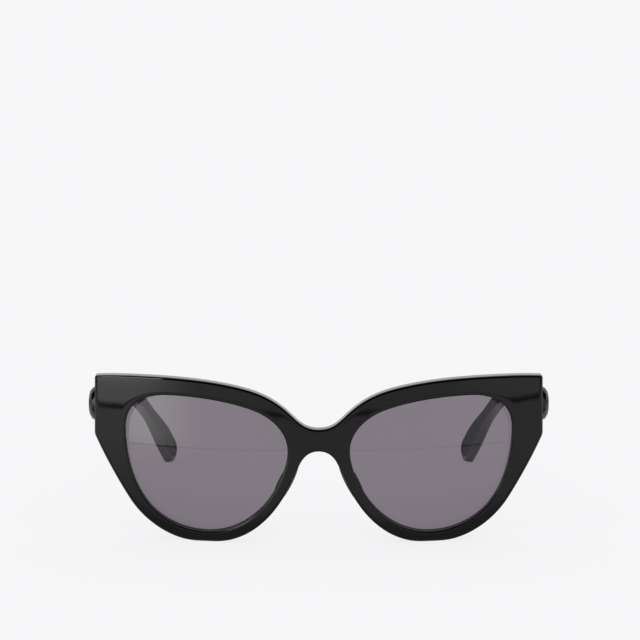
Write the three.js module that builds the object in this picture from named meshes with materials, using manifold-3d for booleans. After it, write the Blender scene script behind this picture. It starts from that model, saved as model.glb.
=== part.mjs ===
// Cat eye sunglasses: a cut acetate front, two meniscus lenses and two folding temples on pinned hinges.
// Millimetres, +Z up. The front stands on its rims across X, facing -Y, and the open temples run back to
// their tips, which rest on the same ground. The origin is the middle of the ground that they cover.
// "left" and "right" are the wearer's, so the left side is +X. Each side is built for +X, and the right
// side is its mirror image.
import * as THREE from "three";
import { mergeVertices } from "three/addons/utils/BufferGeometryUtils.js";
import Module from "manifold-3d";

const wasm = await Module();
wasm.setup();

// ---- Driving dimensions ----
// Here and below, y is measured back from the front face of the bridge.

const SEAT = 0.2; // clearance around a piece that is glued, pressed or sunk into another
const BUTT = 0.3; // between the front and the end of an open temple
const KNUCKLE_GAP = 0.15; // between two neighbouring hinge knuckles

const FRONT = { thickness: 5, curveRadius: 220, top: 55, reach: 76, arcSteps: 40 };

// An outline is [start, [control, control, end], ...] as [x, z], seen from the front; a part with one
// point is a straight line. The front's outline goes from the top of the bridge round to its underside.
const FRONT_OUTLINE = [
  [0, 36.9],
  [[4.6, 36.9], [6.6, 39.5], [9.5, 42.2]],
  [[13, 45.4], [17, 47.9], [23, 49.5]],
  [[33, 52.1], [44, 52.9], [57, 52.9]],
  [[62, 52.9], [67, 52.8], [71.9, 52.3]],
  [[72.2, 33.2]],
  [[69.2, 26.6], [65.3, 19.6], [61, 13]],
  [[56.6, 6.2], [48, 0], [38.5, 0]],
  [[33.5, 0]],
  [[24.6, 0], [16.7, 5.6], [11.4, 14.5]],
  [[9.3, 18], [7.9, 21.5], [6.2, 25.2]],
  [[4.7, 28.5], [2.6, 29.8], [0, 29.8]],
];
const LENS_OUTLINE = [
  [9.9, 29.8],
  [[9.9, 35.5], [14.3, 40.3], [20.5, 42.7]],
  [[28.5, 45.7], [39.5, 47.05], [48.5, 47.05]],
  [[57, 47.05], [61.9, 43], [61.9, 36]],
  [[61.9, 27], [59.9, 17.8], [54.6, 11.5]],
  [[49.8, 6], [42.7, 3.2], [35.5, 3.2]],
  [[27.3, 3.2], [19.7, 8], [15.5, 14.6]],
  [[12.3, 19.5], [9.9, 24.9], [9.9, 29.8]],
];

// The blank is a shell of two concentric spheres. Its outline goes `lip` deep into the rim's groove.
const LENS = {
  middle: [36, 25.5],
  thickness: 1.8,
  curveRadius: 131,
  blankRadius: 35,
  lip: 0.8,
  setback: 0.2,
};

// An ellipsoid cut flat where it is bonded to the back of the rim, tilted to follow the nose.
const NOSE_PAD = { middle: [11, 19.2], halfWidth: 2.7, depth: 4.6, halfHeight: 9.4, tilt: 0.47 };

// The temple's middle line seen from the side, as [y, z], and from above, as [x, y]. Both start ahead of
// the hinge, where the front's back face cuts them off. Heights and thicknesses are whole sizes.
const TEMPLE_SIDE_LINE = [
  [10, 42.2],
  [[28, 40.9], [48, 38.9], [66, 36.5]],
  [[84, 34], [111.5, 19], [131.3, 0.4]],
];
const TEMPLE_PLAN_LINE = [
  [69.4, 10],
  [[69.1, 32], [67.2, 54], [65, 74]],
  [[63.4, 88.6], [61.4, 108], [53.6, 136]],
];
const TEMPLE = { hingeHeight: 14.6, earHeight: 5.2, tipHeight: 9.4, hingeThickness: 4.8, earThickness: 3.6 };

// The reinforcing wire lies in a channel that is open at the hinge end.
const WIRE = { height: 2, thickness: 0.9, end: 0.93 };

const HINGE = {
  x: 65.7, // where the front leaf lies on the back of the front
  z: 41.6,
  knuckles: 5, // three on the front leaf and two on the temple leaf, in turn
  height: 8,
  radius: 1.4,
  bore: 0.75,
  leafThickness: 0.8,
  clearance: 0.25, // between a knuckle and the leaf that it turns past
  frontLeafWidth: 4,
  templeLeafLength: 11,
  webWidth: 1.3,
  anchorRadius: 0.7,
  anchorLength: 2,
  anchorSpacing: 5.6,
};
const SCREW = { radius: 0.6, headRadius: 1.15, headHeight: 0.5, tail: 0.3, slotWidth: 0.3, slotDepth: 0.25 };

// A faceted oval stone look, cut in flat steps and set on the temple by a pin.
const STUD = {
  y: 27,
  z: 40.5,
  halfHeight: 5.9,
  halfLength: 4.4,
  rise: 3.5,
  sides: 12,
  pinRadius: 0.8,
  pinLength: 1.2,
};

// ---- Outlines ----

function pathOf(outline) {
  const path = new THREE.Path().moveTo(...outline[0]);
  for (const part of outline.slice(1)) {
    if (part.length === 1) path.lineTo(...part[0]);
    else path.bezierCurveTo(...part[0], ...part[1], ...part[2]);
  }
  return path;
}

// The points of a closed outline moved outwards by `distance`, for one drawn clockwise.
function outset(points, distance) {
  const count = points.length;
  return points.map((point, i) => {
    const before = points[(i + count - 1) % count];
    const after = points[(i + 1) % count];
    const along = after.clone().sub(before).normalize();
    return new THREE.Vector2(point.x - along.y * distance, point.y + along.x * distance);
  });
}

// The closed outline of a strip around a path: width(u) across it, u going from 0 at the start to 1.
// It stops at `end`, where it is rounded by half an ellipse of length `round`, a share of the path.
function strip(path, width, { end = 1, round = 0 }) {
  const steps = 26;
  const roundSteps = 6;
  const stations = [];
  for (let i = 0; i <= steps; i++) stations.push({ u: ((end - round) * i) / steps, share: 1 });
  for (let i = 1; round && i <= roundSteps; i++) {
    const angle = ((Math.PI / 2) * i) / roundSteps;
    stations.push({ u: end - round + round * Math.sin(angle), share: Math.cos(angle) });
  }
  const oneSide = [];
  const otherSide = [];
  for (const { u, share } of stations) {
    const point = path.getPoint(u);
    const along = path.getTangent(u);
    const half = (width(u) / 2) * share;
    const across = new THREE.Vector2(-along.y, along.x).multiplyScalar(half);
    oneSide.push(point.clone().add(across));
    if (half > 1e-6) otherSide.unshift(point.clone().sub(across));
  }
  return [...oneSide, ...otherSide];
}

// ---- Solids ----
// three.js makes every shape, and the solids are joined and cut as closed meshes.

function solidOf(geometry) {
  geometry.deleteAttribute("normal");
  geometry.deleteAttribute("uv");
  const merged = mergeVertices(geometry, 1e-4);
  const triVerts = new Uint32Array(merged.index.array);
  return new wasm.Manifold(
    new wasm.Mesh({ numProp: 3, vertProperties: merged.attributes.position.array, triVerts }),
  );
}

function geometryOf(solid) {
  const { vertProperties, triVerts } = solid.getMesh();
  const geometry = new THREE.BufferGeometry();
  geometry.setAttribute("position", new THREE.BufferAttribute(vertProperties, 3));
  geometry.setIndex(new THREE.BufferAttribute(triVerts, 1));
  const faceted = geometry.toNonIndexed();
  faceted.computeVertexNormals();
  return faceted;
}

// The same solid on the other side of the middle plane, x = 0.
function reflected(solid) {
  const { vertProperties, triVerts } = solid.getMesh();
  const flipped = vertProperties.map((value, i) => (i % 3 === 0 ? -value : value));
  return new wasm.Manifold(
    new wasm.Mesh({ numProp: 3, vertProperties: flipped, triVerts: triVerts.slice().reverse() }),
  );
}

function joined(solids) {
  return solids.reduce((whole, solid) => whole.add(solid));
}

// Prisms over a closed outline of 2D points, between two places along one axis. The outline's points
// are [x, y] for a prism along Z, [x, z] along Y and [y, z] along X.
function extruded(points, length) {
  return new THREE.ExtrudeGeometry(new THREE.Shape(points), { depth: length, bevelEnabled: false });
}
function prismZ(points, from, to) {
  return solidOf(extruded(points, to - from).translate(0, 0, from));
}
function prismY(points, from, to) {
  return solidOf(extruded(points, to - from).rotateX(Math.PI / 2).translate(0, to, 0));
}
function prismX(points, from, to) {
  return solidOf(extruded(points, to - from).rotateX(Math.PI / 2).rotateZ(Math.PI / 2).translate(from, 0, 0));
}

function boxGeometry([x0, x1], [y0, y1], [z0, z1]) {
  const geometry = new THREE.BoxGeometry(x1 - x0, y1 - y0, z1 - z0);
  return geometry.translate((x0 + x1) / 2, (y0 + y1) / 2, (z0 + z1) / 2);
}

// A round bar along Z.
function barGeometry(radius, [from, to], sides = 20) {
  const geometry = new THREE.CylinderGeometry(radius, radius, to - from, sides);
  return geometry.rotateX(Math.PI / 2).translate(0, 0, (from + to) / 2);
}

// ---- The front's curve ----

// How far back the surface that lies `depth` behind the front face has come at x.
function backset(x, depth) {
  const radius = FRONT.curveRadius - depth;
  return FRONT.curveRadius - Math.sqrt(radius * radius - x * x);
}

// The upright shell between two depths behind the front face.
function frontShell(near, far) {
  const { curveRadius, reach, top, arcSteps } = FRONT;
  const half = Math.asin(reach / curveRadius);
  const back = -Math.PI / 2;
  const path = new THREE.Path();
  path.absarc(0, curveRadius, curveRadius - near, back - half, back + half, false);
  path.absarc(0, curveRadius, curveRadius - far, back + half, back - half, true);
  return prismZ(path.getPoints(arcSteps), -5, top);
}

// Stands a shape made around the origin, with its front facing -Y, on the surface at `depth`.
function onCurve(geometry, x, depth, z) {
  const turn = Math.asin(x / (FRONT.curveRadius - depth));
  return geometry.rotateZ(turn).translate(x, backset(x, depth), z);
}

// ---- Lenses ----

const lensPoints = pathOf(LENS_OUTLINE).getPoints(8).slice(0, -1);

// The lens blank, `spare` thicker on each side.
function lensBlank(spare) {
  const { curveRadius, thickness, blankRadius, middle, setback } = LENS;
  const arc = (radius) => {
    const edge = Math.asin(blankRadius / radius);
    const path = new THREE.Path().absarc(0, 0, radius, Math.PI / 2, Math.PI / 2 - edge, true);
    return path.getPoints(7);
  };
  const profile = [...arc(curveRadius - thickness - spare), ...arc(curveRadius + spare).reverse()];
  profile[0].x = 0;
  profile.at(-1).x = 0;
  const blank = new THREE.LatheGeometry(profile, 24).translate(0, -curveRadius, 0).rotateX(Math.PI);
  return solidOf(onCurve(blank, middle[0], setback, middle[1]));
}

function lensOf(lip, spare) {
  return prismY(outset(lensPoints, lip), -5, 30).intersect(lensBlank(spare));
}

// ---- Hinge ----
// The front leaf is made in its own frame, on the back of the front, and the rest in the model's.

const hingeTurn = Math.asin(HINGE.x / (FRONT.curveRadius - FRONT.thickness));
const axisOffset = HINGE.radius + HINGE.clearance;
const hingeAxis = {
  x: HINGE.x - axisOffset * Math.sin(hingeTurn),
  y: backset(HINGE.x, FRONT.thickness) + axisOffset * Math.cos(hingeTurn),
};
const hingeHalf = HINGE.height / 2;
const innerFace = TEMPLE_PLAN_LINE[0][0] - TEMPLE.hingeThickness / 2;

// The heights of every second knuckle, from the first or the second one up.
function knuckleHeights(first) {
  const height = (HINGE.height - KNUCKLE_GAP * (HINGE.knuckles - 1)) / HINGE.knuckles;
  const heights = [];
  for (let i = first; i < HINGE.knuckles; i += 2) {
    const bottom = -hingeHalf + i * (height + KNUCKLE_GAP);
    heights.push([bottom, bottom + height]);
  }
  return heights;
}

// The anchors that hold a leaf, as bars along Y from a face at y = 0.
function anchors(radius, length) {
  return [-1, 1].map((side) =>
    barGeometry(radius, [0, length], 12)
      .rotateX(Math.PI / 2)
      .translate(0, 0, (side * HINGE.anchorSpacing) / 2),
  );
}

function frontLeaf() {
  const { radius, bore, leafThickness, frontLeafWidth, webWidth } = HINGE;
  const half = frontLeafWidth / 2;
  const shapes = [boxGeometry([-half, half], [-leafThickness, 0], [-hingeHalf, hingeHalf])];
  for (const heights of knuckleHeights(0)) {
    shapes.push(barGeometry(radius, heights, 24).translate(0, axisOffset, 0));
    shapes.push(boxGeometry([-webWidth / 2, webWidth / 2], [-leafThickness / 2, axisOffset], heights));
  }
  for (const anchor of anchors(HINGE.anchorRadius, HINGE.anchorLength)) {
    shapes.push(anchor.translate(0, -leafThickness / 2, 0));
  }
  const hole = barGeometry(bore, [-HINGE.height, HINGE.height]).translate(0, axisOffset, 0);
  const solids = [...shapes, hole].map((shape) => solidOf(onCurve(shape, HINGE.x, FRONT.thickness, HINGE.z)));
  return joined(solids.slice(0, -1)).subtract(solids.at(-1));
}

// What is cut from the back of the front for the leaf and its anchors.
function frontLeafSeat() {
  const { leafThickness, frontLeafWidth, anchorRadius, anchorLength } = HINGE;
  const half = frontLeafWidth / 2 + SEAT;
  const tall = hingeHalf + SEAT;
  const shapes = [boxGeometry([-half, half], [-leafThickness - SEAT, 1], [-tall, tall])];
  for (const anchor of anchors(anchorRadius + SEAT, anchorLength + SEAT)) {
    shapes.push(anchor.translate(0, -leafThickness / 2, 0));
  }
  return joined(shapes.map((shape) => solidOf(onCurve(shape, HINGE.x, FRONT.thickness, HINGE.z))));
}

const leafStart = backset(innerFace, FRONT.thickness + BUTT) + BUTT;
const leafEnd = leafStart + HINGE.templeLeafLength;

// The temple leaf's anchors, turned to point outwards into the temple.
function templeAnchors(radius, length) {
  const outer = innerFace + HINGE.leafThickness / 2;
  return anchors(radius, length).map((anchor) =>
    solidOf(anchor.rotateZ(Math.PI / 2).translate(outer, leafEnd - HINGE.anchorLength, HINGE.z)),
  );
}

function templeLeaf() {
  const { radius, bore, leafThickness, webWidth, z } = HINGE;
  const raise = ([from, to]) => [z + from, z + to];
  const leafX = [innerFace, innerFace + leafThickness];
  const solids = [solidOf(boxGeometry(leafX, [leafStart, leafEnd], raise([-hingeHalf, hingeHalf])))];
  for (const heights of knuckleHeights(1)) {
    const knuckle = barGeometry(radius, raise(heights), 24).translate(hingeAxis.x, hingeAxis.y, 0);
    const webY = [hingeAxis.y - webWidth / 4, hingeAxis.y + webWidth];
    const web = boxGeometry([hingeAxis.x, innerFace + leafThickness / 2], webY, raise(heights));
    solids.push(solidOf(knuckle), solidOf(web));
  }
  solids.push(...templeAnchors(HINGE.anchorRadius, HINGE.anchorLength));
  const hole = barGeometry(bore, raise([-HINGE.height, HINGE.height])).translate(hingeAxis.x, hingeAxis.y, 0);
  return joined(solids).subtract(solidOf(hole));
}

// What is cut from the inside of the temple for the leaf and its anchors.
function templeLeafSeat() {
  const tall = hingeHalf + SEAT;
  const xs = [innerFace - 2, innerFace + HINGE.leafThickness + SEAT];
  const pocket = boxGeometry(xs, [leafStart - 4, leafEnd + SEAT], [HINGE.z - tall, HINGE.z + tall]);
  return joined([solidOf(pocket), ...templeAnchors(HINGE.anchorRadius + SEAT, HINGE.anchorLength + SEAT)]);
}

function hingeScrew() {
  const { radius, headRadius, headHeight, tail, slotWidth, slotDepth } = SCREW;
  const headBottom = hingeHalf + KNUCKLE_GAP;
  const top = headBottom + headHeight;
  const place = (shape) => solidOf(shape.translate(hingeAxis.x, hingeAxis.y, HINGE.z));
  const shank = place(barGeometry(radius, [-hingeHalf - tail, headBottom + headHeight / 2]));
  const head = place(barGeometry(headRadius, [headBottom, top], 24));
  const slotHalf = slotWidth / 2;
  const slotHeights = [top - slotDepth, top + 1];
  const slot = place(boxGeometry([-slotHalf, slotHalf], [-headRadius, headRadius], slotHeights));
  return shank.add(head).subtract(slot);
}

// ---- Temple, wire and stud ----

const sidePath = pathOf(TEMPLE_SIDE_LINE);
const planPath = pathOf(TEMPLE_PLAN_LINE);

// A piece along the temple: its strip seen from the side, kept within its strip seen from above.
function alongTemple(height, thickness, sideOptions) {
  const side = prismX(strip(sidePath, height, sideOptions), 40, 80);
  const plan = prismZ(strip(planPath, thickness, {}), -5, 60);
  return side.intersect(plan).subtract(frontShell(-10, FRONT.thickness + BUTT));
}

// Tall at the hinge, slim over the ear and a little fuller again at the tip.
function templeHeight(u) {
  const { hingeHeight, earHeight, tipHeight } = TEMPLE;
  const slimming = THREE.MathUtils.smoothstep(u, 0, 0.52);
  const filling = THREE.MathUtils.smoothstep(u, 0.7, 0.92);
  return hingeHeight + (earHeight - hingeHeight) * slimming + (tipHeight - earHeight) * filling;
}

function templeThickness(u) {
  const { hingeThickness, earThickness } = TEMPLE;
  return hingeThickness + (earThickness - hingeThickness) * THREE.MathUtils.smoothstep(u, 0, 0.52);
}

function temple() {
  const round = (0.56 * TEMPLE.tipHeight) / sidePath.getLength();
  const blade = alongTemple(templeHeight, templeThickness, { round });
  const ground = solidOf(boxGeometry([40, 80], [100, 150], [-10, 0]));
  const channel = wire(SEAT);
  const pinHole = studPin(SEAT);
  return [ground, channel, pinHole, templeLeafSeat()].reduce((whole, cut) => whole.subtract(cut), blade);
}

// The wire, or with `spare` the channel that it lies in.
function wire(spare) {
  const end = WIRE.end + spare / sidePath.getLength();
  const bar = alongTemple(
    () => WIRE.height + 2 * spare,
    () => WIRE.thickness + 2 * spare,
    { end },
  );
  return spare ? bar : bar.subtract(frontShell(0, FRONT.thickness + 2 * BUTT));
}

const studBase = TEMPLE_PLAN_LINE[0][0] + TEMPLE.hingeThickness / 2;

// The stud's pin, or with `spare` the hole that takes it.
function studPin(spare) {
  const pin = barGeometry(STUD.pinRadius + spare, [-STUD.pinLength - spare, 1], 16);
  return solidOf(pin.rotateY(Math.PI / 2).translate(studBase, STUD.y, STUD.z));
}

function stud() {
  const cuts = [[0, 0], [0.92, 0], [1, 0.2], [0.8, 0.62], [0.42, 0.93], [0, 1]];
  const profile = cuts.map(([radius, height]) => new THREE.Vector2(radius, height));
  const stone = new THREE.LatheGeometry(profile, STUD.sides).rotateZ(-Math.PI / 2);
  stone.scale(STUD.rise, STUD.halfLength, STUD.halfHeight).translate(studBase, STUD.y, STUD.z);
  return solidOf(stone).add(studPin(0));
}

// ---- Nose pad ----

function nosePad() {
  const { middle, halfWidth, depth, halfHeight, tilt } = NOSE_PAD;
  const [x, z] = middle;
  const pad = new THREE.SphereGeometry(1, 24, 16).rotateX(Math.PI / 2);
  pad.scale(halfWidth, depth, halfHeight).rotateY(-tilt).translate(x, backset(x, FRONT.thickness), z);
  return solidOf(pad).subtract(frontShell(-10, FRONT.thickness + SEAT));
}

// ---- Front ----

function front() {
  const half = pathOf(FRONT_OUTLINE).getPoints(8);
  const otherHalf = half.slice(1, -1).reverse().map(({ x, y }) => new THREE.Vector2(-x, y));
  const sheet = prismY([...half, ...otherHalf], -5, 30).intersect(frontShell(0, FRONT.thickness));
  const opening = prismY(lensPoints, -10, 35);
  const groove = lensOf(LENS.lip + SEAT, SEAT);
  const cuts = [opening, groove, frontLeafSeat()];
  return [...cuts, ...cuts.map(reflected)].reduce((whole, cut) => whole.subtract(cut), sheet);
}

// ---- Assembly ----

const acetate = { color: 0x1b1c1e, roughness: 0.12, metalness: 0 };
const metal = { color: 0x9a9ca0, roughness: 0.3, metalness: 1 };
const glass = { color: 0x6e686d, roughness: 0.04, metalness: 0, transparent: true, opacity: 0.8 };
const stone = { color: 0x0c0c0e, roughness: 0.08, metalness: 0 };

function meshOf(name, solid, look) {
  const mesh = new THREE.Mesh(geometryOf(solid), new THREE.MeshStandardMaterial(look));
  mesh.name = name;
  return mesh;
}

const sidePieces = [
  ["lens", lensOf(LENS.lip, 0), glass],
  ["nose_pad", nosePad(), acetate],
  ["hinge_front", frontLeaf(), metal],
  ["hinge_temple", templeLeaf(), metal],
  ["hinge_screw", hingeScrew(), metal],
  ["temple", temple(), acetate],
  ["core_wire", wire(0), metal],
  ["temple_stud", stud(), stone],
];

const sunglasses = new THREE.Group();
sunglasses.add(meshOf("front_frame", front(), acetate));
for (const [side, facing] of [["left", 1], ["right", -1]]) {
  const group = new THREE.Group();
  group.scale.x = facing;
  for (const [name, solid, look] of sidePieces) group.add(meshOf(`${name}_${side}`, solid, look));
  sunglasses.add(group);
}

// Bring the middle of the covered ground to the origin.
const extent = new THREE.Box3().setFromObject(sunglasses);
sunglasses.position.set(0, -(extent.min.y + extent.max.y) / 2, -extent.min.z);

export default sunglasses;
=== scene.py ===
import math

import bmesh
import bpy
import numpy as np
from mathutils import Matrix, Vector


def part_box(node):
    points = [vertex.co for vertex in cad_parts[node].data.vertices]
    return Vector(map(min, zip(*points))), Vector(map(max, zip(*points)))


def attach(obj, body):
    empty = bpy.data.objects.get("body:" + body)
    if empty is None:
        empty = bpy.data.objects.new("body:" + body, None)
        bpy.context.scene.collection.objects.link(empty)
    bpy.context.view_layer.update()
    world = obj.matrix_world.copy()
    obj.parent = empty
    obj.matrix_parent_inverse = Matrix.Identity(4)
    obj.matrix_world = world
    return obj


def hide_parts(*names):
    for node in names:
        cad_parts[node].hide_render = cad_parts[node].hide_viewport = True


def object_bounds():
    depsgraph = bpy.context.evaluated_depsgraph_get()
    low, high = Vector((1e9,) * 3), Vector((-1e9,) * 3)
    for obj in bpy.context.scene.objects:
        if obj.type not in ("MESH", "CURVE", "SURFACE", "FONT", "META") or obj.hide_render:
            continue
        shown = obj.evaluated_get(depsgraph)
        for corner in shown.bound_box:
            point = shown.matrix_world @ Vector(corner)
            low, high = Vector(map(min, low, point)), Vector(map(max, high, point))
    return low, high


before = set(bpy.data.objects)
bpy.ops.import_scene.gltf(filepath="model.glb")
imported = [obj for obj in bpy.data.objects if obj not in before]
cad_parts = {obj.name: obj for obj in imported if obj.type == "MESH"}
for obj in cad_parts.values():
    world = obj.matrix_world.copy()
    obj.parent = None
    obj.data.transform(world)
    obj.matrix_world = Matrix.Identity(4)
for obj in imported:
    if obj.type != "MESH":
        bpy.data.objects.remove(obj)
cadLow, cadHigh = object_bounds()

# Sizes are in millimetres. A piece is made with x to the wearer's left, y measured back from the face
# of the bridge and z up from the ground, then put in the row frame by bridgeFace.
mm = 0.001
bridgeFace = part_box("front_frame")[0].y / mm
sides = {"left": 1, "right": -1}


def smoothstep(value, low, high):
    share = np.clip((value - low) / (high - low), 0, 1)
    return share * share * (3 - 2 * share)


# An outline is its start, then [end] for a straight part or [control, control, end] for a bent one
def outlinePoints(outline, steps=48):
    share = np.linspace(0, 1, steps + 1)[1:, None]
    rest = 1 - share
    points = [np.array([outline[0]], float)]
    for part in outline[1:]:
        start = points[-1][-1]
        stops = np.array(part, float)
        if len(stops) == 1:
            points.append(start * rest + stops[0] * share)
        else:
            leaving, arriving, end = stops
            bend = 3 * leaving * rest**2 * share + 3 * arriving * rest * share**2
            points.append(start * rest**3 + bend + end * share**3)
    return np.vstack(points)


def runOf(points):
    return np.concatenate([[0], np.cumsum(np.linalg.norm(np.diff(points, axis=0), axis=1))])


def pointsAt(points, places):
    run = runOf(points)
    return np.stack([np.interp(places, run, column) for column in points.T], axis=1)


def directionsOf(points, closed=False):
    if closed:
        along = np.roll(points, -1, axis=0) - np.roll(points, 1, axis=0)
    else:
        along = np.gradient(points, axis=0)
    return along / np.linalg.norm(along, axis=1)[:, None]


# Takes the sharp corner off an outline, from `reach` before it to `reach` after it
def roundedCorner(points, corner, reach, count=15, gap=0.01):
    run = runOf(points)
    place = run[np.argmin(np.linalg.norm(points - corner, axis=1))]
    before, after = pointsAt(points, [place - reach, place + reach])
    share = np.linspace(0, 1, count)[:, None]
    bend = before * (1 - share) ** 2 + 2 * np.array(corner) * (1 - share) * share + after * share**2
    return np.vstack([points[run < place - reach - gap], bend, points[run > place + reach + gap]])


# Places along a line, `step` apart and closer together near the corners
def spacedPlaces(length, step, closeStep, corners, near, samples=6000):
    run = np.linspace(0, length, samples)
    away = np.min([np.abs(run - corner) for corner in corners], axis=0)
    spacing = closeStep + (step - closeStep) * smoothstep(away, near / 3, near)
    count = np.concatenate([[0], np.cumsum(np.diff(run) / spacing[1:])])
    return np.interp(np.linspace(0, count[-1], math.ceil(count[-1]) + 1), count, run)


def distancesTo(points, line):
    along = np.diff(line, axis=0)
    away = points[:, None] - line[:-1]
    share = np.clip((away * along).sum(2) / (along**2).sum(1), 0, 1)
    return np.linalg.norm(away - share[..., None] * along, axis=2).min(1)


# The faces of a grid of points, as places in a flat list that starts at `first`
def gridFaces(rows, columns, first=0, closed=False):
    faces = []
    for row in range(rows - 1):
        for column in range(columns if closed else columns - 1):
            beside = (column + 1) % columns
            here = first + row * columns
            faces.append((here + column, here + beside, here + columns + beside, here + columns + column))
    return faces


doubles = 0.002  # points nearer than this are one


# A mesh of points and faces, in the row frame, with doubles merged and faces outwards
def makePiece(name, points, faces, material, side=1, sharp=None):
    placed = np.array(points, float)
    placed[:, 0] *= side
    placed[:, 1] += bridgeFace
    mesh = bpy.data.meshes.new(name)
    mesh.from_pydata((placed * mm).tolist(), [], faces)
    work = bmesh.new()
    work.from_mesh(mesh)
    bmesh.ops.remove_doubles(work, verts=work.verts, dist=doubles * mm)
    bmesh.ops.recalc_face_normals(work, faces=work.faces)
    work.to_mesh(mesh)
    work.free()
    mesh.shade_smooth()
    if sharp is not None:
        mesh.set_sharp_from_angle(angle=math.radians(sharp))
    mesh.materials.append(material)
    piece = bpy.data.objects.new(name, mesh)
    bpy.context.scene.collection.objects.link(piece)
    return piece


# A socket that can stand in an expression, which adds its Math nodes
class Signal:
    def __init__(self, surface, socket):
        self.surface = surface
        self.socket = socket

    def maths(self, operation, *values):
        return self.surface.node("ShaderNodeMath", {"operation": operation}, dict(enumerate(values)))

    def __add__(self, other):
        return self.maths("ADD", self, other)

    def __radd__(self, other):
        return self.maths("ADD", other, self)

    def __sub__(self, other):
        return self.maths("SUBTRACT", self, other)

    def __rsub__(self, other):
        return self.maths("SUBTRACT", other, self)

    def __mul__(self, other):
        return self.maths("MULTIPLY", self, other)

    def __rmul__(self, other):
        return self.maths("MULTIPLY", other, self)


class Surface:
    def __init__(self, name):
        self.material = bpy.data.materials.new(name)
        self.material.use_nodes = True
        self.tree = self.material.node_tree
        self.tree.nodes.clear()

    # Makes one node: its settings first, then the values or signals of its sockets
    def node(self, kind, settings=None, sockets=None, output=0):
        made = self.tree.nodes.new(kind)
        for name, value in (settings or {}).items():
            setattr(made, name, value)
        for name, value in (sockets or {}).items():
            if isinstance(value, Signal):
                self.tree.links.new(value.socket, made.inputs[name])
            else:
                made.inputs[name].default_value = value
        return Signal(self, made.outputs[output]) if len(made.outputs) else None

    def place(self):
        return self.node("ShaderNodeTexCoord", output="Object")

    def scaled(self, place, scale):
        return self.node("ShaderNodeVectorMath", {"operation": "MULTIPLY"}, {0: place, 1: scale})

    def noise(self, place, scale, detail=3, roughness=0.5):
        values = {"Vector": place, "Scale": scale, "Detail": detail, "Roughness": roughness}
        return self.node("ShaderNodeTexNoise", {}, values)

    # 0 below `low`, 1 above `high` and a soft step between
    def step(self, value, low, high):
        sockets = {"Value": value, "From Min": low, "From Max": high, "To Min": 0, "To Max": 1}
        return self.node("ShaderNodeMapRange", {"interpolation_type": "SMOOTHSTEP"}, sockets)

    def mixed(self, share, first, second):
        settings = {"data_type": "RGBA"}
        return self.node("ShaderNodeMix", settings, {0: share, 6: first, 7: second}, output=2)

    def bump(self, height, strength, distance):
        sockets = {"Height": height, "Strength": strength, "Distance": distance}
        return self.node("ShaderNodeBump", {}, sockets)

    def finished(self, shader):
        self.node("ShaderNodeOutputMaterial", {}, {"Surface": shader})
        return self.material


def grey(value):
    return (value, value, value, 1)


acetateLook = {
    "colour": (0.0011, 0.0011, 0.0013, 1),
    "milkyColour": (0.0019, 0.0018, 0.002, 1),
    "cloudScale": 90,
    "roughness": 0.035,
    "haze": 0.035,
    "wearScale": 260,
    "hairlineScale": (900, 900, 5200),
    "waveScale": 120,
    "waviness": 0.02,
    "waveDepth": 0.0004,
    "index": 1.5,
}


# Polished cellulose acetate: almost black, with faint clouding and the slight waves of hand polishing
def acetateFinish(look):
    surface = Surface("blackAcetate")
    place = surface.place()
    cloud = surface.noise(place, look["cloudScale"], 2)
    hairlines = surface.noise(surface.scaled(place, look["hairlineScale"]), 1, 4, 0.6)
    waves = surface.noise(place, look["waveScale"], 1)
    worn = surface.step(surface.noise(place, look["wearScale"], 5, 0.65), 0.5, 0.75)
    colour = surface.mixed(surface.step(cloud, 0.4, 0.7), look["colour"], look["milkyColour"])
    roughness = look["roughness"] + look["haze"] * worn * hairlines
    shader = surface.node("ShaderNodeBsdfPrincipled", {}, {
        "Base Color": colour,
        "Roughness": roughness,
        "IOR": look["index"],
        "Normal": surface.bump(waves, look["waviness"], look["waveDepth"]),
    })
    return surface.finished(shader)


lensLook = {"tint": (0.228, 0.2, 0.228, 1), "index": 1.5}


# Tinted lens plastic: clear to look through, and a tinted filter to the light that casts shadows
def lensFinish(look):
    surface = Surface("greyLens")
    clear = surface.node("ShaderNodeBsdfPrincipled", {}, {
        "Base Color": look["tint"],
        "Roughness": 0.0,
        "IOR": look["index"],
        "Transmission Weight": 1.0,
    })
    filtering = surface.node("ShaderNodeBsdfTransparent", {}, {"Color": look["tint"]})
    shadowRay = surface.node("ShaderNodeLightPath", output="Is Shadow Ray")
    shader = surface.node("ShaderNodeMixShader", {}, {0: shadowRay, 1: clear, 2: filtering})
    return surface.finished(shader)


metalLook = {
    "colour": (0.56, 0.55, 0.54, 1),
    "dullColour": (0.36, 0.355, 0.35, 1),
    "dullShare": 0.6,
    "roughness": 0.24,
    "lineRoughness": 0.16,
    "stainRoughness": 0.1,
    "stainScale": 700,
    "lineScale": (700, 700, 6000),
    "lineStrength": 0.12,
    "lineDepth": 0.00005,
}


# Satin nickel silver, with the fine lines of its tumbling
def metalFinish(look):
    surface = Surface("nickelSilver")
    place = surface.place()
    lines = surface.noise(surface.scaled(place, look["lineScale"]), 1, 4, 0.6)
    stain = surface.step(surface.noise(place, look["stainScale"], 4), 0.45, 0.75)
    roughness = look["roughness"] + look["lineRoughness"] * lines + look["stainRoughness"] * stain
    shader = surface.node("ShaderNodeBsdfPrincipled", {}, {
        "Base Color": surface.mixed(stain * look["dullShare"], look["colour"], look["dullColour"]),
        "Metallic": 1.0,
        "Roughness": roughness,
        "Normal": surface.bump(lines, look["lineStrength"], look["lineDepth"]),
    })
    return surface.finished(shader)


stoneLook = {
    "colour": (0.0022, 0.0022, 0.0026, 1),
    "handledColour": 0.004,
    "handledScale": 900,
    "roughness": 0.03,
    "handledRoughness": 0.05,
    "index": 1.6,
    "waveScale": 1500,
    "waviness": 0.02,
    "waveDepth": 0.0001,
}


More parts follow.
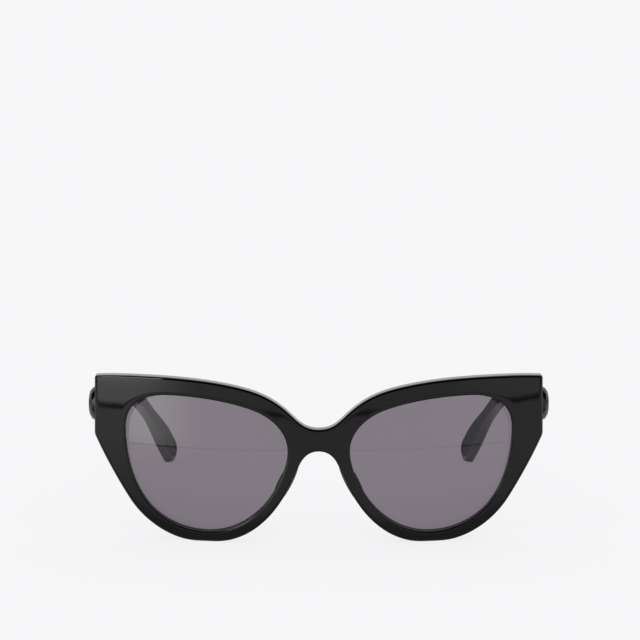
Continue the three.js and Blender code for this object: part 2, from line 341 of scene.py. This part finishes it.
# The cut stone: glassy black, a little duller where it has been handled
def stoneFinish(look):
    surface = Surface("blackStone")
    place = surface.place()
    handled = surface.step(surface.noise(place, look["handledScale"], 4), 0.45, 0.8)
    waves = surface.noise(place, look["waveScale"], 2)
    shader = surface.node("ShaderNodeBsdfPrincipled", {}, {
        "Base Color": surface.mixed(handled, look["colour"], grey(look["handledColour"])),
        "Roughness": look["roughness"] + look["handledRoughness"] * handled,
        "IOR": look["index"],
        "Normal": surface.bump(waves, look["waviness"], look["waveDepth"]),
    })
    return surface.finished(shader)


acetate = acetateFinish(acetateLook)
lensPlastic = lensFinish(lensLook)
nickelSilver = metalFinish(metalLook)
blackStone = stoneFinish(stoneLook)
print("finishes made")


# The upright cylinder that the front is curved to
frontCurve = {"radius": 220, "thickness": 5}


# How far back the surface that lies `depth` behind the front face has come at x
def backset(x, depth):
    return frontCurve["radius"] - np.sqrt((frontCurve["radius"] - depth) ** 2 - x * x)


def onSurface(points, depth):
    return np.stack([points[:, 0], backset(points[:, 0], depth), points[:, 1]], axis=1)


lensShape = {
    "outline": [
        [9.9, 29.8],
        [[9.9, 35.5], [14.3, 40.3], [20.5, 42.7]],
        [[28.5, 45.7], [39.5, 47.05], [48.5, 47.05]],
        [[57, 47.05], [61.9, 43], [61.9, 36]],
        [[61.9, 27], [59.9, 17.8], [54.6, 11.5]],
        [[49.8, 6], [42.7, 3.2], [35.5, 3.2]],
        [[27.3, 3.2], [19.7, 8], [15.5, 14.6]],
        [[12.3, 19.5], [9.9, 24.9], [9.9, 29.8]],
    ],
    "middle": (36, 25.5),
    "radius": 131,
    "thickness": 1.8,
    "setback": 0.2,
    "lip": 0.75,  # how far the edge goes into the groove of the rim
    "bevel": 0.15,
    "around": 240,
    "across": 30,
    "sharp": 25,
}
lensMiddle = np.array(lensShape["middle"], float)
lensLine = outlinePoints(lensShape["outline"], 200)  # close enough together to measure from


# Where the sphere of a lens face, `behind` the outer one, stands at these places
def lensSurface(points, behind):
    reach = frontCurve["radius"] - lensShape["setback"]
    turn = math.asin(lensMiddle[0] / reach)
    radius = lensShape["radius"]
    centreX = lensMiddle[0] - radius * math.sin(turn)
    centreY = frontCurve["radius"] - (reach - radius) * math.cos(turn)
    flat = (points[:, 0] - centreX) ** 2 + (points[:, 1] - lensMiddle[1]) ** 2
    y = centreY - np.sqrt((radius - behind) ** 2 - flat)
    return np.stack([points[:, 0], y, points[:, 1]], axis=1)


def anglesAround(points):
    return np.arctan2(points[:, 1] - lensMiddle[1], points[:, 0] - lensMiddle[0])


# The points of the lens opening in the same directions from the middle as these points
def towardsLensLine(points):
    lineAngles = anglesAround(lensLine[:-1])
    order = np.argsort(lineAngles)
    reach = np.linalg.norm(lensLine[:-1] - lensMiddle, axis=1)[order]
    angles = anglesAround(points)
    radii = np.interp(angles, lineAngles[order], reach, period=2 * math.pi)
    return lensMiddle + radii[:, None] * np.stack([np.cos(angles), np.sin(angles)], axis=1)


# Outwards from the lens, into the rim, all round the opening
def awayFromLens(points):
    along = directionsOf(points, closed=True)
    away = np.stack([-along[:, 1], along[:, 0]], axis=1)
    outwards = ((points - lensMiddle) * away).sum(1) > 0
    return np.where(outwards[:, None], away, -away)


def lensGrid(shape):
    line = pointsAt(lensLine, np.linspace(0, runOf(lensLine)[-1], shape["around"] + 1)[:-1])
    edge = line + awayFromLens(line) * shape["lip"]
    bevelled = edge - awayFromLens(line) * shape["bevel"]
    shares = np.linspace(0, 1, shape["across"] + 1)[1:]
    rows = [lensSurface(lensMiddle + (bevelled - lensMiddle) * share, 0) for share in shares]
    rows.append(lensSurface(edge, shape["bevel"]))
    rows.append(lensSurface(edge, shape["thickness"] - shape["bevel"]))
    back = [lensSurface(lensMiddle + (bevelled - lensMiddle) * share, shape["thickness"]) for share in shares]
    rows.extend(reversed(back))
    return rows


def makeLens(name, side):
    rows = lensGrid(lensShape)
    around = lensShape["around"]
    faces = gridFaces(len(rows), around, closed=True)
    points = np.vstack(rows)
    middles = [lensSurface(lensMiddle[None], behind) for behind in (0, lensShape["thickness"])]
    frontMiddle = len(points)
    last = frontMiddle - around
    for column in range(around):
        beside = (column + 1) % around
        faces.append((beside, column, frontMiddle))
        faces.append((last + column, last + beside, frontMiddle + 1))
    return makePiece(name, np.vstack([points, *middles]), faces, lensPlastic, side, lensShape["sharp"])


for word, side in sides.items():
    lens = makeLens(f"tintedLens.{word}", side)
    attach(lens, "front")
    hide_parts(f"lens_{word}")
print("lenses made")


frontShape = {
    # from the top of the bridge round to its underside
    "outline": [
        [0, 36.9],
        [[4.6, 36.9], [6.6, 39.5], [9.5, 42.2]],
        [[13, 45.4], [17, 47.9], [23, 49.5]],
        [[33, 52.1], [44, 52.9], [57, 52.9]],
        [[62, 52.9], [67, 52.8], [71.9, 52.3]],
        [[72.2, 33.2]],
        [[69.2, 26.6], [65.3, 19.6], [61, 13]],
        [[56.6, 6.2], [48, 0], [38.5, 0]],
        [[33.5, 0]],
        [[24.6, 0], [16.7, 5.6], [11.4, 14.5]],
        [[9.3, 18], [7.9, 21.5], [6.2, 25.2]],
        [[4.7, 28.5], [2.6, 29.8], [0, 29.8]],
    ],
    "corners": [([71.9, 52.3], 0.8), ([72.2, 33.2], 0.8)],
    # how far in from the edge the rounding starts, how deep it goes, and how square it is
    "outerEdge": {"reach": 1.3, "drop": 0.8, "power": 2.5, "rows": 14},
    "outerBackEdge": {"reach": 1.4, "drop": 0.8, "power": 2.4, "rows": 9},
    "lensEdge": {"reach": 0.8, "drop": 0.55, "power": 2, "rows": 10},
    "lensBackEdge": {"reach": 0.8, "drop": 0.5, "power": 2.2, "rows": 8},
    "groove": 1.0,
    "grooveSpare": 0.15,
    "faceRows": 7,
    "sideRows": 3,
    "step": 0.75,
    "closeStep": 0.13,
    "closeReach": 3,
    "cornerBlend": 2.2,  # how far the inward directions of a corner's two sides blend
    "middleRows": 8,
    "sharp": 50,
}


# Distances in from an edge and depths behind the face, from the face to the edge's side
def edgeSteps(edge):
    angles = np.linspace(0, math.pi / 2, edge["rows"] + 1)
    inwards = edge["reach"] * (1 - np.sin(angles) ** (2 / edge["power"]))
    depths = edge["drop"] * (1 - np.cos(angles) ** (2 / edge["power"]))
    inwards[-1], depths[-1] = 0, edge["drop"]
    return list(zip(inwards, depths))


# Inward directions at an outline that is mirrored at both its ends, smoothed round its corners
def inwardDirections(outline, blend):
    run = runOf(outline)
    along = directionsOf(outline)
    inward = np.stack([along[:, 1], -along[:, 0]], axis=1)
    inward[0], inward[-1] = (0, -1), (0, 1)
    mirrored = inward[::-1] * (-1, 1)
    runs = np.concatenate([-run[::-1], run, 2 * run[-1] - run[::-1]])
    everyInward = np.vstack([mirrored, inward, mirrored])
    weights = np.exp(-(((run[:, None] - runs) / blend) ** 2)) * np.gradient(runs)
    smooth = weights @ everyInward
    return smooth / np.linalg.norm(smooth, axis=1)[:, None]


# The line that runs `distance` inside the outline, found along the inward directions
def insetLine(outline, inward, distance, farthest=3, halvings=26):
    if distance == 0:
        return outline
    near, far = np.zeros(len(outline)), np.full(len(outline), farthest * distance)
    for _ in range(halvings):
        middle = (near + far) / 2
        short = distancesTo(outline + inward * middle[:, None], outline) < distance
        near, far = np.where(short, middle, near), np.where(short, far, middle)
    line = outline + inward * far[:, None]
    line[0, 0] = line[-1, 0] = 0
    return line


def frontOutline(shape):
    points = outlinePoints(shape["outline"])
    for corner, reach in shape["corners"]:
        points = roundedCorner(points, corner, reach)
    run = runOf(points)
    corners = [run[np.argmin(np.linalg.norm(points - corner, axis=1))] for corner, reach in shape["corners"]]
    places = spacedPlaces(run[-1], shape["step"], shape["closeStep"], corners, shape["closeReach"])
    return pointsAt(points, places)


# Closes a line from the top of the bridge to its underside with points up the middle
def closedThroughMiddle(line, count):
    heights = np.linspace(line[-1, 1], line[0, 1], count + 2)[1:-1]
    return np.vstack([line, np.stack([np.zeros(count), heights], axis=1)])


# The wearer's left half: the rows round its outer rim, then those from its face through the opening
# to its back
def frontHalf(shape):
    thickness = frontCurve["thickness"]
    outline = frontOutline(shape)
    inward = inwardDirections(outline, shape["cornerBlend"])
    rim = []
    for distance, depth in edgeSteps(shape["outerEdge"]):
        rim.append(onSurface(insetLine(outline, inward, distance), depth))
    lowest, highest = shape["outerEdge"]["drop"], thickness - shape["outerBackEdge"]["drop"]
    for depth in np.linspace(lowest, highest, shape["sideRows"] + 2)[1:-1]:
        rim.append(onSurface(outline, depth))
    for distance, depth in reversed(edgeSteps(shape["outerBackEdge"])):
        rim.append(onSurface(insetLine(outline, inward, distance), thickness - depth))

    faceLine = closedThroughMiddle(rim[0][:, [0, 2]], shape["middleRows"])
    backLine = closedThroughMiddle(rim[-1][:, [0, 2]], shape["middleRows"])
    opening = towardsLensLine(faceLine)
    away = awayFromLens(opening)
    lensSteps = edgeSteps(shape["lensEdge"])
    backSteps = edgeSteps(shape["lensBackEdge"])
    lensFace = opening + away * lensSteps[0][0]
    lensBack = opening + away * backSteps[0][0]
    shares = np.linspace(0, 1, shape["faceRows"] + 1)[:-1]
    hollow = opening + away * shape["groove"]
    spare = shape["grooveSpare"]
    thin = lensShape["thickness"]

    rows = [onSurface(faceLine + (lensFace - faceLine) * share, 0) for share in shares]
    rows += [onSurface(opening + away * distance, depth) for distance, depth in lensSteps]
    rows.append((rows[-1] + lensSurface(opening, -spare)) / 2)
    rows.append(lensSurface(opening, -spare))
    rows.append(lensSurface(hollow, -spare))
    rows.append(lensSurface(hollow, thin + spare))
    rows.append(lensSurface(opening, thin + spare))
    for distance, depth in reversed(backSteps):
        rows.append(onSurface(opening + away * distance, thickness - depth))
    rows += [onSurface(backLine + (lensBack - backLine) * share, thickness) for share in reversed(shares)]
    return rim, rows


def makeFront(shape):
    rim, rows = frontHalf(shape)
    half = np.vstack(rim + rows)
    faces = gridFaces(len(rim), len(rim[0]))
    faces += gridFaces(len(rows), len(rows[0]), first=len(rim) * len(rim[0]), closed=True)
    otherFaces = [tuple(len(half) + corner for corner in reversed(face)) for face in faces]
    points = np.vstack([half, half * (-1, 1, 1)])
    return makePiece("acetateFront", points, faces + otherFaces, acetate, sharp=shape["sharp"])


front = makeFront(frontShape)
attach(front, "front")
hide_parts("front_frame")
print("front made")


padShape = {
    "middle": (10.7, 19.1),
    "halfWidth": 2.2,
    "depth": 4.5,
    "halfHeight": 9.2,
    "tilt": 0.47,
    "power": 2.2,
    "around": 72,
    "rows": 20,
    "root": 0.5,  # how far it goes into the rim that it is fused to
    "rootClimb": -0.12,
}


# Half an egg on the back of the rim, leaning with the side of the nose
def makePad(name, side, shape):
    angles = np.linspace(0, 2 * math.pi, shape["around"] + 1)[:-1]
    lean = shape["tilt"]
    middleX, middleZ = shape["middle"]
    rows = []
    for climb in np.linspace(shape["rootClimb"], math.pi / 2, shape["rows"] + 1):
        rise = math.sin(climb) if climb > 0 else 0
        share = max(math.cos(climb), 0.0) ** (2 / shape["power"]) if climb > 0 else 1
        across = shape["halfWidth"] * share * np.cos(angles)
        upwards = shape["halfHeight"] * share * np.sin(angles)
        x = middleX + across * math.cos(lean) - upwards * math.sin(lean)
        z = middleZ + across * math.sin(lean) + upwards * math.cos(lean)
        depth = frontCurve["thickness"] - (shape["root"] if climb < 0 else 0) + shape["depth"] * rise
        rows.append(np.stack([x, backset(x, 0) + depth, z], axis=1))
    points = np.vstack(rows)
    faces = gridFaces(len(rows), shape["around"], closed=True)
    return makePiece(name, points, faces, acetate, side)


for word, side in sides.items():
    pad = makePad(f"nosePad.{word}", side, padShape)
    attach(pad, "front")
    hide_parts(f"nose_pad_{word}")
print("nose pads made")


templeShape = {
    "sideLine": [[10, 42.2], [[28, 40.9], [48, 38.9], [66, 36.5]], [[84, 34], [111.5, 19], [131.24, 0.4]]],
    "planLine": [[69.4, 10], [[69.1, 32], [67.2, 54], [65, 74]], [[63.4, 88.6], [61.4, 108], [53.6, 136]]],
    "hingeHeight": 14.6,
    "earHeight": 5.2,
    "tipHeight": 9.4,
    "hingeThickness": 4.8,
    "earThickness": 3.6,
    "tipThickness": 3,
    "butt": 0.3,  # between the front and the end of the open temple
    # shares of the length at which it stops slimming, fills out to the tip and thins towards it
    "slimTo": 0.52,
    "fill": (0.7, 0.92),
    "thin": (0.8, 0.97),
    "tipRounding": 0.56,  # of the tip's height
    "tipThinning": 0.45,
    "tipLeast": 0.02,
    "uprightTo": 0.06,  # its sections lean with it from this share after the hinge end
    "corner": 1.5,
    "stations": 110,
    "tipStations": 14,
    "endBevel": 0.35,
    "sharp": 50,
}
sideLine = outlinePoints(templeShape["sideLine"], 300)
planLine = outlinePoints(templeShape["planLine"], 300)


def templeHeight(share, shape):
    slimming = smoothstep(share, 0, shape["slimTo"])
    filling = smoothstep(share, *shape["fill"])
    atEar = (shape["earHeight"] - shape["hingeHeight"]) * slimming
    return shape["hingeHeight"] + atEar + (shape["tipHeight"] - shape["earHeight"]) * filling


# The middle and half thickness of the temple seen from above, at these distances back
def templePlan(y, shape):
    run = runOf(planLine)
    x = np.interp(y, planLine[:, 1], planLine[:, 0])
    share = np.interp(y, planLine[:, 1], run / run[-1])
    along = directionsOf(planLine)
    lean = np.interp(y, planLine[:, 1], along[:, 1])
    slimming = smoothstep(share, 0, shape["slimTo"])
    thinning = smoothstep(share, *shape["thin"])
    thickness = shape["hingeThickness"] + (shape["earThickness"] - shape["hingeThickness"]) * slimming
    thickness += (shape["tipThickness"] - shape["earThickness"]) * thinning
    return x, thickness / 2 / lean


# One section's points as shares of the half thickness and half height, with rounded corners
def sectionShares(halfThickness, halfHeight, corner, perSide=6, perCorner=8):
    roundX = min(corner / halfThickness, 0.75)  # a corner leaves some of each side flat
    roundZ = min(corner / halfHeight, 0.95)
    centres = np.array([(1, 1), (-1, 1), (-1, -1), (1, -1)]) * (1 - roundX, 1 - roundZ)
    shares = []
    for turn, centre in enumerate(centres):
        for angle in np.linspace(0, math.pi / 2, perCorner + 1) + turn * math.pi / 2:
            shares.append(centre + (roundX * math.cos(angle), roundZ * math.sin(angle)))
        last = (turn + 1) * math.pi / 2
        leave = shares[-1]
        arrive = centres[(turn + 1) % 4] + (roundX * math.cos(last), roundZ * math.sin(last))
        for step in range(1, perSide):
            shares.append(leave + (arrive - leave) * step / perSide)
    return np.array(shares)


# Sections square to the temple's line, closing in to a rounded tip whose underside is cut level
def templeRows(shape):
    run = runOf(sideLine)
    length = run[-1]
    along = directionsOf(sideLine)
    start = np.interp(backset(planLine[0, 0], frontCurve["thickness"]), sideLine[:, 0], run) / length
    rounding = shape["tipRounding"] * shape["tipHeight"] / length
    stations = [(share, 1) for share in np.linspace(start, 1 - rounding, shape["stations"])]
    for step in range(1, shape["tipStations"] + 1):
        angle = math.pi / 2 * step / shape["tipStations"]
        stations.append((1 - rounding + rounding * math.sin(angle), math.cos(angle)))
    rows = []
    for place, (share, fullness) in enumerate(stations):
        y, z = [np.interp(share * length, run, column) for column in sideLine.T]
        leanY, leanZ = [np.interp(share * length, run, column) for column in along.T]
        halfHeight = templeHeight(share, shape) / 2
        _, halfThickness = templePlan(y, shape)
        shares = sectionShares(halfThickness, halfHeight, shape["corner"])
        lean = smoothstep(share, start, start + shape["uprightTo"])
        rise = shares[:, 1] * halfHeight * fullness
        pointY = y - leanZ * rise * lean
        pointZ = np.maximum(z + rise * (leanY if lean else 1), 0)
        middle, half = templePlan(pointY, shape)
        thin = max(fullness, shape["tipLeast"]) ** shape["tipThinning"]
        x = middle + shares[:, 0] * half * thin
        if place == 0:
            pointY = backset(x, frontCurve["thickness"] + shape["butt"])
        rows.append(np.stack([x, pointY, pointZ], axis=1))
    return rows


def makeTemple(name, side, shape):
    rows = templeRows(shape)
    end = rows[0]
    middle = end.mean(0)
    sizes = np.abs(end - middle).max(0)
    inset = end + (middle - end) * (shape["endBevel"] / np.maximum(sizes, 1)) * (1, 0, 1)
    inset[:, 1] = backset(inset[:, 0], frontCurve["thickness"] + shape["butt"])
    rows[0] = end + (0, shape["endBevel"], 0)
    rows = [inset] + rows
    around = len(end)
    faces = gridFaces(len(rows), around, closed=True)
    faces.append(tuple(range(around)))
    total = len(rows) * around
    faces.append(tuple(range(total - 1, total - around - 1, -1)))
    return makePiece(name, np.vstack(rows), faces, acetate, side, shape["sharp"])


for word, side in sides.items():
    temple = makeTemple(f"temple.{word}", side, templeShape)
    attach(temple, f"{word}_temple")
    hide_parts(f"temple_{word}")
print("temples made")


studShape = {
    "base": 71.8,  # the outer side of the temple, where the stone's setting stands
    "middle": (27, 40.5),
    "halfLength": 4.4,
    "halfHeight": 5.9,
    "rise": 3.45,
    # how far out each row of corners stands, how high, and how many half steps it is turned
    "rows": [
        (0.93, 0.0, 0),
        (1.0, 0.12, 0),
        (1.0, 0.3, 0),
        (0.97, 0.4, 0),
        (0.86, 0.72, 1),
        (0.67, 0.92, 0),
        (0.46, 1.0, 1),
    ],
    "sides": 12,
    "bevel": 0.07,
    "bevelledFrom": 0.1,
}


# A cut oval stone: a girdle, two rings of slanting facets that turn by half a side, and a small table
def makeStud(name, side, shape):
    around = shape["sides"]
    points = []
    faces = []
    for share, rise, turn in shape["rows"]:
        for corner in range(around):
            angle = 2 * math.pi * (corner + turn / 2) / around
            y = shape["middle"][0] + shape["halfLength"] * share * math.cos(angle)
            z = shape["middle"][1] + shape["halfHeight"] * share * math.sin(angle)
            points.append((shape["base"] + shape["rise"] * rise, y, z))
    turns = [turn for _, _, turn in shape["rows"]]
    for row in range(len(turns) - 1):
        for corner in range(around):
            beside = (corner + 1) % around
            here, above = row * around, (row + 1) * around
            if turns[row] == turns[row + 1]:
                faces.append((here + corner, here + beside, above + beside, above + corner))
            elif turns[row + 1]:
                faces.append((here + corner, here + beside, above + corner))
                faces.append((here + beside, above + beside, above + corner))
            else:
                faces.append((here + corner, above + beside, above + corner))
                faces.append((here + corner, here + beside, above + beside))
    faces.append(tuple(range(around)))
    last = (len(turns) - 1) * around
    faces.append(tuple(last + corner for corner in range(around)))
    stud = makePiece(name, points, faces, blackStone, side)
    work = bmesh.new()
    work.from_mesh(stud.data)
    cutEdges = [edge for edge in work.edges if edge.calc_face_angle(0) > shape["bevelledFrom"]]
    width = shape["bevel"] * mm
    bmesh.ops.bevel(work, geom=cutEdges, offset=width, segments=2, affect="EDGES", profile=0.6)
    work.to_mesh(stud.data)
    work.free()
    stud.data.shade_flat()
    return stud


for word, side in sides.items():
    stud = makeStud(f"cutStone.{word}", side, studShape)
    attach(stud, f"{word}_temple")
    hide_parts(f"temple_stud_{word}")
print("studs made")


for word in sides:
    for kind in ("hinge_front", "hinge_temple", "hinge_screw", "core_wire"):
        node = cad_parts[f"{kind}_{word}"]
        node.data.materials.clear()
        node.data.materials.append(nickelSilver)


stageLook = {
    "floorSize": 160,  # metres
    "floorColour": 0.94,
    "floorGlow": 0.94,
    "glowShare": 0.86,
    "glowColour": (0.995, 0.995, 1.01, 1),
    "worldColour": (0.99, 0.99, 1.01, 1),
    "worldLight": 0.95,
}


def linkStage(name, points, faces, material):
    mesh = bpy.data.meshes.new(name)
    mesh.from_pydata(points, [], faces)
    mesh.materials.append(material)
    thing = bpy.data.objects.new(name, mesh)
    bpy.context.scene.collection.objects.link(thing)
    return thing


# A sheet of pale card that glows a little, so that only a faint shadow gathers under the rims
def makeFloor(look):
    surface = Surface("paleFloor")
    tone = surface.noise(surface.place(), 3, 2)
    low, high = grey(look["floorColour"] * 0.995), grey(look["floorColour"] * 1.005)
    card = surface.node("ShaderNodeBsdfDiffuse", {}, {"Color": surface.mixed(tone, low, high)})
    lit = {"Color": look["glowColour"], "Strength": look["floorGlow"]}
    glow = surface.node("ShaderNodeEmission", {}, lit)
    shader = surface.node("ShaderNodeMixShader", {}, {0: look["glowShare"], 1: card, 2: glow})
    half = look["floorSize"] / 2
    corners = [(-half, -half, 0), (half, -half, 0), (half, half, 0), (-half, half, 0)]
    linkStage("floor", corners, [(0, 1, 2, 3)], surface.finished(shader))


def makeWorld(look):
    world = bpy.data.worlds.new("paleRoom")
    world.use_nodes = True
    background = world.node_tree.nodes["Background"]
    background.inputs["Color"].default_value = look["worldColour"]
    background.inputs["Strength"].default_value = look["worldLight"]
    bpy.context.scene.world = world


# What the polished faces mirror: a table in front, a curved row of panels along its edge, brighter on
# the wearer's right, a lamp above them there and a dark room all round. Only reflections show these.
# Steps are in metres from the middle, to the left or right, and levels are light.
roomLook = {
    "radius": 532,
    "behind": 320,  # from the bridge back to the middle of the curve
    "sideways": 20,
    "spread": 45,  # degrees to either side of straight ahead
    "panelHeight": 95,
    "panelColumns": 65,
    "hoodHeight": 700,
    "hoodRows": 13,
    "lift": 0.0004,  # metres above the floor
    "tableLevel": 0.48,
    "tableLevelLeft": 0.53,
    "tableLevelRight": 0.77,
    "tableStepLeft": (0.08, 0.17),
    "tableStepRight": (0.08, 0.19),
    "tableBack": 8,  # how far behind the bridge it ends
    # a painted shadow of the glasses, which dims the mirrored table close to the rims
    "rimShadowLevel": 0.24,
    "rimShadowStep": (0.01, 0.045),
    "panelLevel": 0.47,
    "panelLevelLeft": 0.6,
    "panelLevelRight": 1.3,
    "panelStepLeft": (0.11, 0.19),
    "panelStepRight": (0.115, 0.2),
    "middleGain": 0.08,
    "middleStep": (0.02, 0.1),
    "panelRise": 0.45,
    "riseStep": (0.006, 0.017),
    "gapLevel": 0.07,
    "gapStep": (0.0015, 0.0038),
    "endStep": (0.25, 0.3),
    "endFade": 0.93,
    "hoodLevel": 0.01,
    "rearLevel": 0.2,
    "rearSize": 3,
    "rearHalf": 1,
    "lampLevel": 5,
    "lampReach": 0.2,
    "lampHeight": 0.03,
    "lampTurns": (-66, -44),  # degrees from straight ahead, the wearer's left being more
    "lampClimbs": (20, 32),
}


def reflectedOnly(thing):
    thing.visible_camera = False
    thing.visible_diffuse = False
    thing.visible_transmission = False
    thing.visible_shadow = False
    thing.visible_volume_scatter = False
    thing.location = (0, bridgeFace * mm, 0)


def glowing(surface, level):
    shader = surface.node("ShaderNodeEmission", {}, {"Color": grey(1), "Strength": level})
    return surface.finished(shader)


def axesOf(surface):
    split = surface.node("ShaderNodeSeparateXYZ", {}, {0: surface.place()}).socket.node
    return [Signal(surface, split.outputs[axis]) for axis in "XYZ"]


# Grey in front, paler to the wearer's right, and dimmed close to the rims by a painted shadow of the glasses
def tableFinish(look):
    surface = Surface("mirroredTable")
    x, y, _ = axesOf(surface)
    rightwards = surface.step(0 - x, *look["tableStepRight"])
    leftwards = surface.step(x, *look["tableStepLeft"])
    # painted shadow: the table glows less close to the rims, standing in for the glasses' shade on it
    away = surface.step(0 - y, *look["rimShadowStep"])
    level = look["tableLevel"] + (look["tableLevelLeft"] - look["tableLevel"]) * leftwards
    level = level + (look["tableLevelRight"] - look["tableLevel"]) * rightwards
    return glowing(surface, look["rimShadowLevel"] + (level - look["rimShadowLevel"]) * away)


# The panels stand on a dark gap, and the ones on the wearer's right brighten upwards
def panelFinish(look):
    surface = Surface("mirroredPanels")
    x, _, z = axesOf(surface)
    rightwards = surface.step(0 - x, *look["panelStepRight"])
    middleRight = surface.step(0 - x, *look["middleStep"])
    leftwards = surface.step(x, *look["panelStepLeft"])
    rise = look["panelRise"] * surface.step(z, *look["riseStep"])
    level = look["panelLevel"] + (look["panelLevelLeft"] - look["panelLevel"]) * leftwards
    level = level + look["middleGain"] * middleRight
    level = level + (look["panelLevelRight"] - look["panelLevel"] + rise) * rightwards
    clear = surface.step(z, *look["gapStep"])
    ends = surface.step(x.maths("ABSOLUTE", x), *look["endStep"])
    level = (look["gapLevel"] + (level - look["gapLevel"]) * clear) * (1 - look["endFade"] * ends)
    return glowing(surface, level)


def makeRoom(look):
    radius, behind, sideways = look["radius"], look["behind"], look["sideways"]
    spread = math.radians(look["spread"])
    angles = np.linspace(-spread, spread, look["panelColumns"])
    rim = [(sideways + radius * math.sin(angle), behind - radius * math.cos(angle)) for angle in angles]
    under = [(rim[-1][0], look["tableBack"]), (rim[0][0], look["tableBack"])]
    top, lift = look["panelHeight"], look["lift"]

    tablePoints = [(x * mm, y * mm, lift) for x, y in rim + under]
    tableTop = linkStage("mirroredTable", tablePoints, [tuple(range(len(tablePoints)))], tableFinish(look))
    panelPoints = [(x * mm, y * mm, height * mm) for height in (0, top) for x, y in rim]
    panels = linkStage("mirroredPanels", panelPoints, gridFaces(2, len(rim)), panelFinish(look))
    climbs = np.linspace(0, math.pi / 2, look["hoodRows"])
    hoodPoints = []
    for climb in climbs:
        height = (top + look["hoodHeight"] * math.sin(climb)) * mm
        hoodPoints += [(x * mm * math.cos(climb), y * mm * math.cos(climb), height) for x, y in rim]
    darkRoom = glowing(Surface("mirroredDark"), look["hoodLevel"])
    hood = linkStage("mirroredDark", hoodPoints, gridFaces(len(climbs), len(rim)), darkRoom)

    lampPoints = []
    reach = look["lampReach"]
    leftTurn, rightTurn = look["lampTurns"]
    low, high = look["lampClimbs"]
    for turn, climb in ((leftTurn, low), (rightTurn, low), (rightTurn, high), (leftTurn, high)):
        turn, climb = math.radians(turn), math.radians(climb)
        height = look["lampHeight"] + reach * math.tan(climb)
        lampPoints.append((reach * math.sin(turn), -reach * math.cos(turn), height))
    lampGlow = glowing(Surface("mirroredLamp"), look["lampLevel"])
    lamp = linkStage("mirroredLamp", lampPoints, [(0, 1, 2, 3)], lampGlow)

    back = cadHigh.y - bridgeFace * mm
    far, half = back + look["rearSize"], look["rearHalf"]
    rearPoints = [(-half, back, lift), (half, back, lift), (half, far, lift), (-half, far, lift)]
    rearGlow = glowing(Surface("mirroredRear"), look["rearLevel"])
    rear = linkStage("mirroredRear", rearPoints, [(0, 1, 2, 3)], rearGlow)
    for thing in (tableTop, panels, hood, lamp, rear):
        reflectedOnly(thing)


makeFloor(stageLook)
makeWorld(stageLook)
makeRoom(roomLook)
bpy.context.scene.view_settings.view_transform = "Standard"


cameraPlace = {
    "x": 0.4,
    "ahead": 700,
    "height": 175.6,
    "pitch": 8.41,
    "lens": 126.7,
    "sensor": 36,
    "nearest": 0.05,
    "farthest": 200,
}


def makeCamera(place):
    data = bpy.data.cameras.new("viewpoint")
    data.lens = place["lens"]
    data.sensor_width = place["sensor"]
    data.clip_start = place["nearest"]
    data.clip_end = place["farthest"]
    camera = bpy.data.objects.new("viewpoint", data)
    camera.location = (place["x"] * mm, (bridgeFace - place["ahead"]) * mm, place["height"] * mm)
    camera.rotation_euler = (math.radians(90 - place["pitch"]), 0, 0)
    bpy.context.scene.collection.objects.link(camera)
    bpy.context.scene.camera = camera


makeCamera(cameraPlace)
print("stage and camera made")
